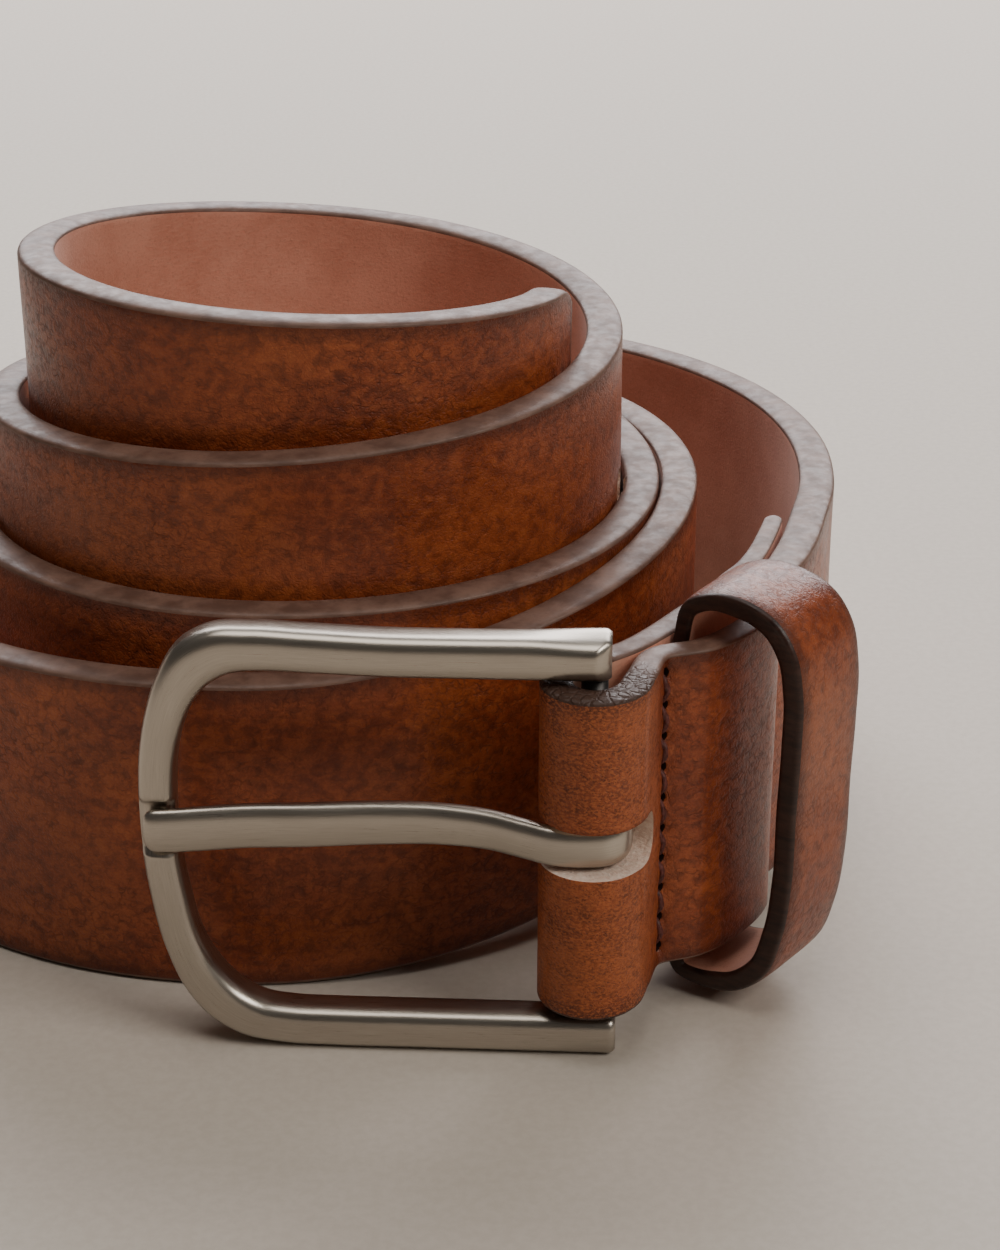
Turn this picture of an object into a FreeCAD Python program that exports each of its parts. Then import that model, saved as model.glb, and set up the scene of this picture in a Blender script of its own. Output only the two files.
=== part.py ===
"""A coiled leather belt: one long strap wound edge-up into a rising coil, with a sewn keeper and a
pin buckle at its outer end. Millimetres, +Z up. The strap and the buckle stand on z = 0."""

import FreeCAD, Part
import Sketcher
import math
import os

from FreeCAD import Placement, Rotation, Vector

# ---------------------------------------------------------------------------------------------
# Driving dimensions
# ---------------------------------------------------------------------------------------------

DIMENSIONS = [
    ("strap_width", 35.0, "strap, edge to edge"),
    ("strap_thickness", 4.0, "full leather"),
    ("tail_corner", 4.0, "rounding of the tail's corners"),
    ("buckle_end_lift", 5.4, "height of the strap's lower edge at the buckle"),
    ("coil_x", -29.0, "coil axis, from the heel bar"),
    ("coil_y", 53.0, "coil axis, from the heel bar"),
    ("strap_heading", 56.0, "degrees from +X, from the heel bar along the strap"),
    ("hole_diameter", 4.0, "adjustment holes"),
    ("hole_pitch", 25.0, "adjustment holes"),
    ("first_hole", 85.0, "from the tail's tip"),
    ("slot_height", 6.2, "slot in the fold for the prong"),
    ("slot_reach", 5.2, "slot's round end, past the heel bar"),
    ("stitch_pitch", 3.15, "both stitch rows"),
    ("stitch_hole", 1.0, "diameter"),
    ("thread_diameter", 0.8, "waxed thread"),
    ("front_row", 8.6, "stitch row nearer the buckle, from the heel bar"),
    ("rear_row", 29.5, "stitch row behind the keeper, from the heel bar"),
    ("bar_diameter", 4.0, "heel bar"),
    ("bar_clearance", 0.05, "radial, between the heel bar and what turns on it"),
    ("bar_seat", 3.4, "depth that the bar enters each arm"),
    ("frame_height", 46.4, "buckle frame, over both arms"),
    ("frame_reach", 44.0, "heel bar to the front of the frame"),
    ("arm_tail", 2.6, "arm past the heel bar"),
    ("arm_height", 4.8, "arm, up and down"),
    ("front_bar_width", 3.8, "front bar of the frame"),
    ("frame_depth", 4.6, "frame, front face to back face"),
    ("frame_outer_corner", 10.0, "radius"),
    ("frame_inner_corner", 5.6, "radius"),
    ("frame_edge", 0.8, "rounding of the frame's edges"),
    ("arm_end_corner", 1.2, "radius at the arms' cut ends"),
    ("frame_heading", 177.0, "degrees from +X, from the heel bar to the front bar"),
    ("notch_depth", 0.8, "rest for the prong's tip"),
    ("prong_width", 4.6, "up and down"),
    ("prong_thickness", 1.9, "at the hook"),
    ("prong_tip_thickness", 1.7, "at the tip"),
    ("prong_reach", 43.2, "heel bar to the prong's tip"),
    ("prong_level", 23.8, "height of the prong's centre line"),
    ("keeper_width", 10.5, "along the strap"),
    ("keeper_thickness", 1.9, "keeper leather"),
    ("keeper_place", 18.4, "heel bar to the keeper's middle"),
    ("keeper_back", 0.6, "outward from the strap's middle line"),
    ("keeper_reach", 14.7, "back of the keeper to its bowed front"),
    ("keeper_low", 1.6, "height of the keeper's lower edge"),
    ("keeper_height", 44.4, "keeper, over its outside"),
    ("keeper_top_corner", 6.5, "outer radius, front"),
    ("keeper_low_corner", 9.5, "outer radius, front"),
    ("keeper_back_corner", 2.6, "outer radius, back"),
    ("staple_wire", 0.6, "staple that closes the keeper"),
    ("staple_span", 6.0, "between the staple's legs"),
]

STITCHES_PER_ROW = 10
ADJUSTMENT_HOLES = 5

# The coil, from the buckle's end inward, anticlockwise from above. Each station is a quarter turn
# on from the last: the strap's outer radius, then the height of its lower edge. Turn 0 faces -Y.
FIRST_STATION = -1.00
STATION_STEP = 0.25
COIL_STATIONS = [
    (47.6, 5.4),
    (57.9, 5.5),
    (73.0, 2.5),
    (57.0, 0.0),
    (42.0, 0.0),
    (42.3, 6.6),
    (45.0, 6.3),
    (41.9, 5.3),
    (36.5, 5.2),
    (38.0, 6.6),
    (40.2, 11.0),
    (37.5, 17.1),
    (32.1, 20.1),
    (33.6, 23.8),
    (35.8, 28.2),
    (32.6, 33.3),
    (26.4, 32.5),
    (27.6, 26.7),
    (31.8, 21.4),
]
TAIL_TURN = 3.22
BUCKLE_END_TURN = -0.75

# The buckle end in its own axes, from the coil to the heel bar and back along the folded flap:
# distance along the strap from the bar, distance outward to the grain side, leather thickness.
OUTER_LAYER = [
    (50.0, -3.6, 4.0),
    (43.0, -1.0, 4.0),
    (37.0, 0.7, 3.9),
    (33.0, 1.4, 3.5),
    (29.5, 1.7, 3.2),
    (24.5, 4.2, 2.9),
    (18.5, 4.4, 2.9),
    (13.0, 4.2, 2.9),
    (8.6, 1.7, 2.8),
    (4.0, 2.8, 3.0),
]
FLAP_LAYER = [
    (4.0, -2.8, 3.0),
    (8.6, -1.4, 2.7),
    (13.0, -1.0, 2.7),
    (18.5, -1.0, 2.7),
    (24.5, -1.1, 2.6),
    (29.5, -1.6, 2.6),
    (33.0, -1.9, 2.4),
    (37.0, -2.8, 2.2),
    (42.0, -4.4, 2.1),
    (46.5, -6.0, 2.0),
]
FOLD_LEATHER = 3.2
FOLD_CLEARANCE = 0.1
FOLD_ANGLES = range(90, 271, 30)
SAMPLES_PER_TURN = 20
STATIONS_PER_FACE = 5
SEW_TOLERANCE = 1e-5
CUTTER_REACH = 20.0  # longer than any thickness that it cuts through
THREAD_PROUD = 0.2  # stitch run off the leather, and between the legs that meet inside it
SEAT_SLACK = 0.01  # pressed pieces: heel bar in the arms, staple in the keeper
TIP_CLEARANCE = 0.06  # prong tip over the floor of its notch
NOTCH_MARGIN = 0.6  # notch wider than the prong, both sides together
HOOK_OPENING = 20.0  # degrees that the prong's hook stays open at the back

# ---------------------------------------------------------------------------------------------
# Document, sheet and helpers
# ---------------------------------------------------------------------------------------------

doc = FreeCAD.newDocument("leather_belt")
sheet = doc.addObject("Spreadsheet::Sheet", "dimensions")
for row, (alias, value, note) in enumerate(DIMENSIONS, start=1):
    sheet.set(f"A{row}", alias)
    sheet.set(f"B{row}", str(value))
    sheet.set(f"C{row}", note)
    sheet.setAlias(f"B{row}", alias)
doc.recompute()


class Bound:
    """A length together with the formula that ties it to the sheet."""

    def __init__(self, value, formula):
        self.value = value
        self.formula = formula

    def __add__(self, other):
        return Bound(self.value + other.value, f"({self.formula} + {other.formula})")

    def __sub__(self, other):
        return Bound(self.value - other.value, f"({self.formula} - {other.formula})")

    def __mul__(self, factor):
        return Bound(self.value * factor, f"({self.formula} * {factor})")


def size(alias):
    return float(getattr(sheet, alias))


def bound(alias):
    return Bound(size(alias), f"dimensions.{alias}")


def fixed(value):
    return Bound(value, str(value))


def bind(item, name, formula):
    item.setExpression(name, formula.formula if isinstance(formula, Bound) else formula)


def new_body(label):
    body = doc.addObject("PartDesign::Body", label)
    body.Label = label
    return body


def new_sketch(body, name, plane):
    """A sketch flat on one of the body's own origin planes."""
    sketch = body.newObject("Sketcher::SketchObject", name)
    planes = {feature.Role: feature for feature in body.Origin.OriginFeatures}
    sketch.AttachmentSupport = [(planes[plane], "")]
    sketch.MapMode = "FlatFace"
    return sketch


def arc_between(start, end, radius, side):
    """The shorter arc from start to end, its centre to the left of the way (side 1) or right (-1)."""
    middle = (start + end) * 0.5
    across = Vector(start.y - end.y, end.x - start.x, 0).normalize()
    half = start.distanceToPoint(end) / 2
    centre = middle + across * side * math.sqrt(max(radius**2 - half**2, 0.0))
    return Part.Arc(start, centre - across * side * radius, end)


def draw_outline(sketch, corners):
    """Close an outline through corners (x, y, radius, side). The edge that leaves a corner is
    straight where radius is None. Every corner and radius is bound to the sheet."""
    points = [Vector(x.value, y.value, 0) for x, y, radius, side in corners]
    count = len(corners)
    for index, (x, y, radius, side) in enumerate(corners):
        start, end = points[index], points[(index + 1) % count]
        if radius is None:
            edge = Part.LineSegment(start, end)
        else:
            edge = arc_between(start, end, radius.value, side)
        sketch.addGeometry(edge, False)
    for index in range(count):
        leaving = 2 if corners[index][2] is not None and corners[index][3] < 0 else 1
        arriving = 1 if leaving == 2 else 2
        following = (index + 1) % count
        next_start = 2 if corners[following][2] is not None and corners[following][3] < 0 else 1
        sketch.addConstraint(Sketcher.Constraint("Coincident", index, arriving, following, next_start))
        for kind, length in (("DistanceX", corners[index][0]), ("DistanceY", corners[index][1])):
            tie = sketch.addConstraint(Sketcher.Constraint(kind, -1, 1, index, leaving, length.value))
            bind(sketch, f"Constraints[{tie}]", length)
        if corners[index][2] is not None:
            radius = corners[index][2]
            tie = sketch.addConstraint(Sketcher.Constraint("Radius", index, radius.value))
            bind(sketch, f"Constraints[{tie}]", radius)


def rounded_box(left, right, low, high, radii):
    """Corners of a box whose four corners, from lower left anticlockwise, have their own radii."""
    low_left, low_right, top_right, top_left = radii
    return [
        (left + low_left, low, None, 0),
        (right - low_right, low, low_right, 1),
        (right, low + low_right, None, 0),
        (right, high - top_right, top_right, 1),
        (right - top_right, high, None, 0),
        (left + top_left, high, top_left, 1),
        (left, high - top_left, None, 0),
        (left, low + low_left, low_left, 1),
    ]


def pad(body, sketch, length, name):
    feature = body.newObject("PartDesign::Pad", name)
    feature.Profile = sketch
    feature.Midplane = True
    bind(feature, "Length", length)
    return feature


def pocket_through(body, sketch, name):
    feature = body.newObject("PartDesign::Pocket", name)
    feature.Profile = sketch
    feature.Type = "ThroughAll"
    feature.Midplane = True
    return feature


# ---------------------------------------------------------------------------------------------
# Places: the heel bar's axis is the working origin until every piece is made
# ---------------------------------------------------------------------------------------------


def along_strap(along, outward, height):
    """A point of the buckle end: along the strap from the heel bar, outward to the grain side."""
    heading = math.radians(size("strap_heading"))
    return Vector(
        along * math.cos(heading) + outward * math.sin(heading),
        along * math.sin(heading) - outward * math.cos(heading),
        height,
    )


def strap_axes():
    """Turns local X to the grain side and local Y to the strap's own direction."""
    return Rotation(Vector(0, 0, 1), size("strap_heading") - 90.0)


def frame_axes():
    """Turns local X to the front bar and local Y to the frame's outward face."""
    return Rotation(Vector(0, 0, 1), size("frame_heading"))


# ---------------------------------------------------------------------------------------------
# Strap
# ---------------------------------------------------------------------------------------------


def blend(before, start, end, after, part):
    """Catmull-Rom blend between start and end."""
    return 0.5 * (
        2 * start
        + (end - before) * part
        + (2 * before - 5 * start + 4 * end - after) * part**2
        + (3 * start - before - 3 * end + after) * part**3
    )


def coil_point(turn):
    """Centre line of the coil: x, y, lower edge, thickness."""
    place = (turn - FIRST_STATION) / STATION_STEP
    index = int(math.floor(place))
    near = COIL_STATIONS[index - 1 : index + 3]
    radius = blend(*[station[0] for station in near], place - index)
    base = max(blend(*[station[1] for station in near], place - index), 0.0)
    radius -= size("strap_thickness") / 2
    angle = math.radians(360.0 * turn - 90.0)
    x = size("coil_x") + radius * math.cos(angle)
    y = size("coil_y") + radius * math.sin(angle)
    return x, y, base, size("strap_thickness")


def end_point(along, outward, thickness):
    point = along_strap(along, outward, size("buckle_end_lift"))
    return point.x, point.y, point.z, thickness


def strap_spine():
    """Stations from the tail's tip, down the coil, round the heel bar and up the flap."""
    count = round((TAIL_TURN - BUCKLE_END_TURN) * SAMPLES_PER_TURN)
    spine = []
    for index in range(count + 1):
        turn = TAIL_TURN + (BUCKLE_END_TURN - TAIL_TURN) * index / count
        spine.append(coil_point(turn))
    spine += [end_point(*station) for station in OUTER_LAYER]
    fold_radius = size("bar_diameter") / 2 + FOLD_CLEARANCE + FOLD_LEATHER / 2
    for angle in FOLD_ANGLES:
        along = fold_radius * math.cos(math.radians(angle))
        outward = fold_radius * math.sin(math.radians(angle))
        spine.append(end_point(along, outward, FOLD_LEATHER))
    spine += [end_point(*station) for station in FLAP_LAYER]
    return spine


def headings(spine):
    """Unit plan direction of the strap at each station."""
    ways = []
    for index in range(len(spine)):
        before = spine[max(index - 1, 0)]
        after = spine[min(index + 1, len(spine) - 1)]
        ways.append(Vector(after[0] - before[0], after[1] - before[1], 0).normalize())
    return ways


def edge_lines(spine):
    """The strap's four long edges: outer low, outer high, inner high, inner low. Walking from the
    tail to the buckle goes clockwise from above, so the grain side is to the left."""
    lines = [[], [], [], []]
    width = size("strap_width")
    for (x, y, base, thickness), way in zip(spine, headings(spine)):
        half = Vector(-way.y, way.x, 0) * (thickness / 2)
        middle = Vector(x, y, base)
        rise = Vector(0, 0, width)
        for line, corner in zip(lines, (half, half + rise, rise - half, half * -1)):
            line.append(middle + corner)
    return lines


def smooth_edges(line, breaks):
    """One smooth curve through the whole line, cut at the stations in breaks."""
    curve = Part.BSplineCurve()
    curve.interpolate(Points=line)
    places = [curve.parameter(line[index]) for index in breaks]
    edges = []
    for start, end in zip(places, places[1:]):
        piece = curve.copy()
        piece.segment(start, end)
        edges.append(piece.toShape())
    return edges


def strap_blank(spine):
    """The strap before anything is cut from it."""
    last = len(spine) - 1
    breaks = list(range(0, last - STATIONS_PER_FACE // 2, STATIONS_PER_FACE)) + [last]
    lines = edge_lines(spine)
    runs = [smooth_edges(line, breaks) for line in lines]
    faces = []
    for side in range(4):
        for edge, neighbour in zip(runs[side], runs[(side + 1) % 4]):
            faces.append(Part.makeRuledSurface(edge, neighbour))
    for index in (0, last):
        ring = [line[index] for line in lines]
        faces.append(Part.Face(Part.makePolygon(ring + ring[:1])))
    shell = Part.makeShell(faces)
    shell.sewShape(SEW_TOLERANCE)
    solid = Part.Solid(shell)
    if solid.Volume < 0:
        solid.reverse()
    return solid


def lengths_from_tail(spine):
    total = 0.0
    lengths = [0.0]
    for start, end in zip(spine, spine[1:]):
        total += math.dist(start[:3], end[:3])
        lengths.append(total)
    return lengths


def place_on_spine(spine, distance):
    """Placement on the strap's middle line, local Z to the grain side and local X to the buckle."""
    lengths = lengths_from_tail(spine)
    index = next(i for i, length in enumerate(lengths) if length > distance) - 1
    part = (distance - lengths[index]) / (lengths[index + 1] - lengths[index])
    start, end = Vector(*spine[index][:3]), Vector(*spine[index + 1][:3])
    point = start + (end - start) * part + Vector(0, 0, size("strap_width") / 2)
    ways = headings(spine)
    way = (ways[index] * (1 - part) + ways[index + 1] * part).normalize()
    outward = Vector(-way.y, way.x, 0)
    return Placement(point, Rotation(way, Vector(0, 0, 1), outward, "XYZ"))


def corner_cutters(place, radius):
    """What rounds the two corners of a strap end; local X points away from the end."""
    half = size("strap_width") / 2
    over = size("strap_thickness") / 2
    floor = -CUTTER_REACH / 4
    depth = CUTTER_REACH / 2
    cutters = []
    for side in (1, -1):
        block = Part.makeBox(radius + over, radius + over, depth, Vector(-over, half - radius, floor))
        drum = Part.makeCylinder(radius, depth, Vector(radius, half - radius, floor))
        cutter = block.cut(drum)
        if side < 0:
            cutter = cutter.mirror(Vector(0, 0, 0), Vector(0, 1, 0))
        cutter.Placement = place.multiply(cutter.Placement)
        cutters.append(cutter)
    return cutters


def stitch_heights():
    middle = size("buckle_end_lift") + size("strap_width") / 2
    first = middle - size("stitch_pitch") * (STITCHES_PER_ROW - 1) / 2
    return [first + size("stitch_pitch") * index for index in range(STITCHES_PER_ROW)]


def across_strap(diameter, along, start, end, height):
    """A round bar square to the strap, from one outward distance to another."""
    base = along_strap(along, start, height)
    return Part.makeCylinder(diameter / 2, end - start, base, along_strap(0, 1, 0))


def slot_cutter():
    """The slot reaches right round the fold and ends in a half circle on each layer."""
    radius = size("slot_height") / 2
    straight = size("slot_reach") - radius
    low = size("prong_level") - radius
    side = -CUTTER_REACH / 2
    block = Part.makeBox(CUTTER_REACH, straight - side, 2 * radius, Vector(side, side, low))
    end = Part.makeCylinder(
        radius, CUTTER_REACH, Vector(side, straight, size("prong_level")), Vector(1, 0, 0)
    )
    cutter = block.fuse(end)
    cutter.Placement = Placement(Vector(0, 0, 0), strap_axes())
    return cutter


def make_strap():
    spine = strap_spine()
    blank = strap_blank(spine)
    cutters = [slot_cutter()]
    for along in (size("front_row"), size("rear_row")):
        reach = CUTTER_REACH / 2
        cutters += [
            across_strap(size("stitch_hole"), along, -reach, reach, height)
            for height in stitch_heights()
        ]
    for index in range(ADJUSTMENT_HOLES):
        place = place_on_spine(spine, size("first_hole") + index * size("hole_pitch"))
        depth = 1.5 * size("strap_thickness")
        hole = Part.makeCylinder(size("hole_diameter") / 2, depth, Vector(0, 0, -depth / 2))
        hole.Placement = place
        cutters.append(hole)
    cutters += corner_cutters(place_on_spine(spine, 0.01), size("tail_corner"))
    strap = doc.addObject("Part::Feature", "strap")
    strap.Label = "strap"
    strap.Shape = blank.cut(cutters)
    strap.Placement = Placement()
    length = lengths_from_tail(spine)
    print(f"strap, cut length {length[-1]:.0f} mm, volume {strap.Shape.Volume:.0f} mm3")
    return strap


# ---------------------------------------------------------------------------------------------
# Stitching: a needle thread on the grain side locks with a bobbin thread in the leather
# ---------------------------------------------------------------------------------------------


def make_thread(label, row, layer, side):
    """One thread of a row: a run on the layer's outer face with a leg into every hole. The legs of
    the two threads stop just short of each other between the layers."""
    along = size(row)
    middle, thickness = next(station[1:] for station in layer if station[0] == along)
    surface = middle + side * (thickness / 2 + size("thread_diameter") / 2 + THREAD_PROUD)
    lock = middle - side * (thickness / 2 + THREAD_PROUD / 2)
    run = doc.addObject("Part::Cylinder", f"{label}_run")
    bind(run, "Radius", "dimensions.thread_diameter / 2")
    bind(run, "Height", f"dimensions.stitch_pitch * {STITCHES_PER_ROW - 1}")
    run.Placement = Placement(along_strap(along, surface, stitch_heights()[0]), Rotation())
    pieces = [run]
    for number, height in enumerate(stitch_heights(), start=1):
        leg = doc.addObject("Part::Cylinder", f"{label}_leg_{number}")
        bind(leg, "Radius", "dimensions.thread_diameter / 2")
        leg.Height = abs(surface - lock)
        way = along_strap(0, side, 0)
        leg.Placement = Placement(along_strap(along, lock, height), Rotation(Vector(0, 0, 1), way))
        pieces.append(leg)
    thread = doc.addObject("Part::MultiFuse", label)
    thread.Label = label
    thread.Shapes = pieces
    return thread


# ---------------------------------------------------------------------------------------------
# Keeper: a closed band round the grain layer, its back run held between the two layers
# ---------------------------------------------------------------------------------------------


def keeper_outline(inset):
    left = bound("keeper_back") + inset
    right = bound("keeper_back") + bound("keeper_reach") - inset
    low = bound("keeper_low") + inset
    high = bound("keeper_low") + bound("keeper_height") - inset
    back = bound("keeper_back_corner") - inset
    radii = (back, bound("keeper_low_corner") - inset, bound("keeper_top_corner") - inset, back)
    return rounded_box(left, right, low, high, radii)


def staple_heights():
    middle = size("keeper_low") + size("keeper_height") / 2
    return middle - size("staple_span") / 2, middle + size("staple_span") / 2


def make_keeper():
    body = new_body("keeper")
    outside = new_sketch(body, "keeper_outside", "XZ_Plane")
    draw_outline(outside, keeper_outline(fixed(0.0)))
    pad(body, outside, bound("keeper_width"), "keeper_block")
    inside = new_sketch(body, "keeper_inside", "XZ_Plane")
    draw_outline(inside, keeper_outline(bound("keeper_thickness")))
    pocket_through(body, inside, "keeper_opening")
    seat = new_sketch(body, "staple_seat", "XZ_Plane")
    wire = bound("staple_wire")
    back = bound("keeper_back")
    middle = bound("keeper_low") + bound("keeper_height") * 0.5
    reach = bound("staple_span") * 0.5 + wire * 0.5
    inner = back + bound("keeper_thickness")
    corners = [
        (back - wire, middle - reach),
        (inner, middle - reach),
        (inner, middle + reach),
        (back - wire, middle + reach),
        (back - wire, middle + reach - wire),
        (inner - wire, middle + reach - wire),
        (inner - wire, middle - reach + wire),
        (back - wire, middle - reach + wire),
    ]
    draw_outline(seat, [(x, y, None, 0) for x, y in corners])
    cut = body.newObject("PartDesign::Pocket", "staple_seat_cut")
    cut.Profile = seat
    cut.Midplane = True
    bind(cut, "Length", wire + fixed(2 * SEAT_SLACK))
    body.Placement = Placement(along_strap(size("keeper_place"), 0, 0), strap_axes())
    return body


def make_staple():
    """Crown and two legs of square wire, sunk in the keeper's back run."""
    low, high = staple_heights()
    wire = size("staple_wire")
    back = size("keeper_back")
    inner = back + size("keeper_thickness")
    slack = SEAT_SLACK
    crown = doc.addObject("Part::Box", "staple_crown")
    bind(crown, "Length", f"dimensions.staple_wire - {2 * slack}")
    bind(crown, "Width", "dimensions.staple_wire")
    bind(crown, "Height", f"dimensions.staple_span + dimensions.staple_wire - {2 * slack}")
    crown.Placement.Base = Vector(inner - wire + slack, -wire / 2, low - wire / 2 + slack)
    pieces = [crown]
    for number, height in enumerate((low, high), start=1):
        leg = doc.addObject("Part::Box", f"staple_leg_{number}")
        bind(leg, "Length", f"dimensions.keeper_thickness - {slack}")
        bind(leg, "Width", "dimensions.staple_wire")
        bind(leg, "Height", f"dimensions.staple_wire - {2 * slack}")
        leg.Placement.Base = Vector(back, -wire / 2, height - wire / 2 + slack)
        pieces.append(leg)
    staple = doc.addObject("Part::MultiFuse", "keeper_staple")
    staple.Label = "keeper_staple"
    staple.Shapes = pieces
    staple.Placement = Placement(along_strap(size("keeper_place"), 0, 0), strap_axes())
    return staple


# ---------------------------------------------------------------------------------------------
# Buckle: an open frame, a heel bar pressed between its arms, and a prong hooked on the bar
# ---------------------------------------------------------------------------------------------

BAR_LENGTH = "dimensions.frame_height - 2 * (dimensions.arm_height - dimensions.bar_seat)"


def make_buckle_frame():
    body = new_body("buckle_frame")
    zero = fixed(0.0)
    end = bound("arm_end_corner")
    tail = zero - bound("arm_tail")
    corner = bound("frame_outer_corner")
    outside = new_sketch(body, "frame_outside", "XZ_Plane")
    outline = rounded_box(
        tail, bound("frame_reach"), zero, bound("frame_height"), (end, corner, corner, end)
    )
    draw_outline(outside, outline)
    pad(body, outside, bound("frame_depth"), "frame_block")
    window = new_sketch(body, "frame_window", "XZ_Plane")
    inner = bound("frame_inner_corner")
    outline = rounded_box(
        tail - bound("arm_tail"),
        bound("frame_reach") - bound("front_bar_width"),
        bound("arm_height"),
        bound("frame_height") - bound("arm_height"),
        (end, inner, inner, end),
    )
    draw_outline(window, outline)
    opening = pocket_through(body, window, "frame_opening")
    doc.recompute()
    soften = body.newObject("PartDesign::Fillet", "frame_edges")
    soften.Base = (opening, face_edges(opening.Shape, size("frame_depth") / 2))
    bind(soften, "Radius", bound("frame_edge"))
    drill_bar_seats(body)
    cut_tip_notch(body)
    body.Placement = Placement(Vector(0, 0, 0), frame_axes())
    return body


def face_edges(shape, offset):
    """Every edge that lies flat in the front or the back face."""
    names = []
    for number, edge in enumerate(shape.Edges, start=1):
        box = edge.BoundBox
        if box.YLength < 1e-6 and abs(abs(box.Center.y) - offset) < 1e-6:
            names.append(f"Edge{number}")
    return names


def drill_bar_seats(body):
    """One blind hole in each arm, drilled as a single length that spans the gap."""
    seats = new_sketch(body, "bar_seats", "XY_Plane")
    seats.addGeometry(Part.Circle(Vector(), Vector(0, 0, 1), size("bar_diameter") / 2), False)
    seats.addConstraint(Sketcher.Constraint("Coincident", 0, 3, -1, 1))
    tie = seats.addConstraint(Sketcher.Constraint("Radius", 0, size("bar_diameter") / 2))
    bind(seats, f"Constraints[{tie}]", bound("bar_diameter") * 0.5)
    bind(seats, "AttachmentOffset.Base.z", "dimensions.arm_height - dimensions.bar_seat")
    drill = body.newObject("PartDesign::Pocket", "bar_seat_drill")
    drill.Profile = seats
    drill.Reversed = True
    bind(drill, "Length", BAR_LENGTH)


def cut_tip_notch(body):
    """A shallow rest across the front bar for the prong's tip."""
    notch = new_sketch(body, "tip_notch", "XY_Plane")
    edge = bound("frame_edge")
    front = bound("frame_reach")
    face = bound("frame_depth") * 0.5
    corners = [
        (front - bound("front_bar_width") - edge, face - bound("notch_depth")),
        (front + edge, face - bound("notch_depth")),
        (front + edge, face + edge),
        (front - bound("front_bar_width") - edge, face + edge),
    ]
    draw_outline(notch, [(x, y, None, 0) for x, y in corners])
    bind(notch, "AttachmentOffset.Base.z", "dimensions.prong_level")
    rest = body.newObject("PartDesign::Pocket", "tip_rest")
    rest.Profile = notch
    rest.Midplane = True
    bind(rest, "Length", bound("prong_width") + fixed(NOTCH_MARGIN))


def make_heel_bar():
    bar = doc.addObject("Part::Cylinder", "heel_bar")
    bar.Label = "heel_bar"
    bind(bar, "Radius", f"dimensions.bar_diameter / 2 - {SEAT_SLACK}")
    bind(bar, "Height", f"{BAR_LENGTH} - {2 * SEAT_SLACK}")
    seat_floor = size("arm_height") - size("bar_seat")
    bar.Placement = Placement(Vector(0, 0, seat_floor + SEAT_SLACK), frame_axes())
    return bar


def make_prong():
    """A flat bar whose heel is curled round the heel bar and whose tip rests in the notch."""
    body = new_body("prong")
    plan = new_sketch(body, "prong_plan", "XY_Plane")
    inner = bound("bar_diameter") * 0.5 + bound("bar_clearance")
    outer = inner + bound("prong_thickness")
    zero = fixed(0.0)
    down = math.cos(math.radians(HOOK_OPENING))
    side = math.sin(math.radians(HOOK_OPENING))
    reach = bound("prong_reach")
    rest = bound("frame_depth") * 0.5 - bound("notch_depth") + fixed(TIP_CLEARANCE)
    tip = rest + bound("prong_tip_thickness")
    nose = bound("prong_tip_thickness") * 0.5
    corners = [
        (zero, outer, outer, 1),
        (zero - outer, zero, outer, 1),
        (zero, zero - outer, outer, 1),
        (outer * side, zero - outer * down, None, 0),
        (inner * side, zero - inner * down, inner, -1),
        (zero, zero - inner, inner, -1),
        (zero - inner, zero, inner, -1),
        (zero, inner, None, 0),
        (reach - nose, rest, nose, 1),
        (reach, rest + nose, nose, 1),
        (reach - nose, tip, None, 0),
    ]
    draw_outline(plan, corners)
    pad(body, plan, bound("prong_width"), "prong_blank")
    body.Placement = Placement(Vector(0, 0, size("prong_level")), frame_axes())
    return body


# ---------------------------------------------------------------------------------------------
# Build, check, place and write
# ---------------------------------------------------------------------------------------------


def make_belt():
    return [
        make_strap(),
        make_thread("front_row_needle_thread", "front_row", OUTER_LAYER, 1),
        make_thread("front_row_bobbin_thread", "front_row", FLAP_LAYER, -1),
        make_thread("rear_row_needle_thread", "rear_row", OUTER_LAYER, 1),
        make_thread("rear_row_bobbin_thread", "rear_row", FLAP_LAYER, -1),
        make_keeper(),
        make_staple(),
        make_buckle_frame(),
        make_heel_bar(),
        make_prong(),
    ]


def check(parts):
    """Nothing is written if any object failed or any sub-part has no sound shape."""
    failed = [item.Name for item in doc.Objects if {"Invalid", "Error"} & set(item.State)]
    if failed:
        raise RuntimeError(f"failed objects: {failed}")
    for item in parts:
        if item.Shape.isNull() or not item.Shape.isValid():
            raise RuntimeError(f"{item.Label} has no valid shape")


def centre_on_footprint(parts):
    """Moves every piece so that the belt's footprint is centred on the origin."""
    box = FreeCAD.BoundBox()
    for item in parts:
        box.add(item.Shape.optimalBoundingBox(False))
    shift = Placement(Vector(-box.Center.x, -box.Center.y, 0), Rotation())
    for item in parts:
        item.Placement = shift.multiply(item.Placement)
    print(f"heel bar at ({-box.Center.x:.2f}, {-box.Center.y:.2f}), size {box}")


belt = make_belt()
doc.recompute()
check(belt)
centre_on_footprint(belt)
doc.recompute()
check(belt)
os.makedirs("parts", exist_ok=True)
for item in belt:
    item.Shape.exportStep(f"parts/{item.Label}.step")
    bounds = item.Shape.BoundBox
    print(f"{item.Label}: {len(item.Shape.Solids)} solid, volume {item.Shape.Volume:.1f}, "
          f"z {bounds.ZMin:.2f} to {bounds.ZMax:.2f}")
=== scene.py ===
"""Looks of the coiled leather belt. Shapes are worked out in millimetres and stored in metres."""

import math

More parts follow.
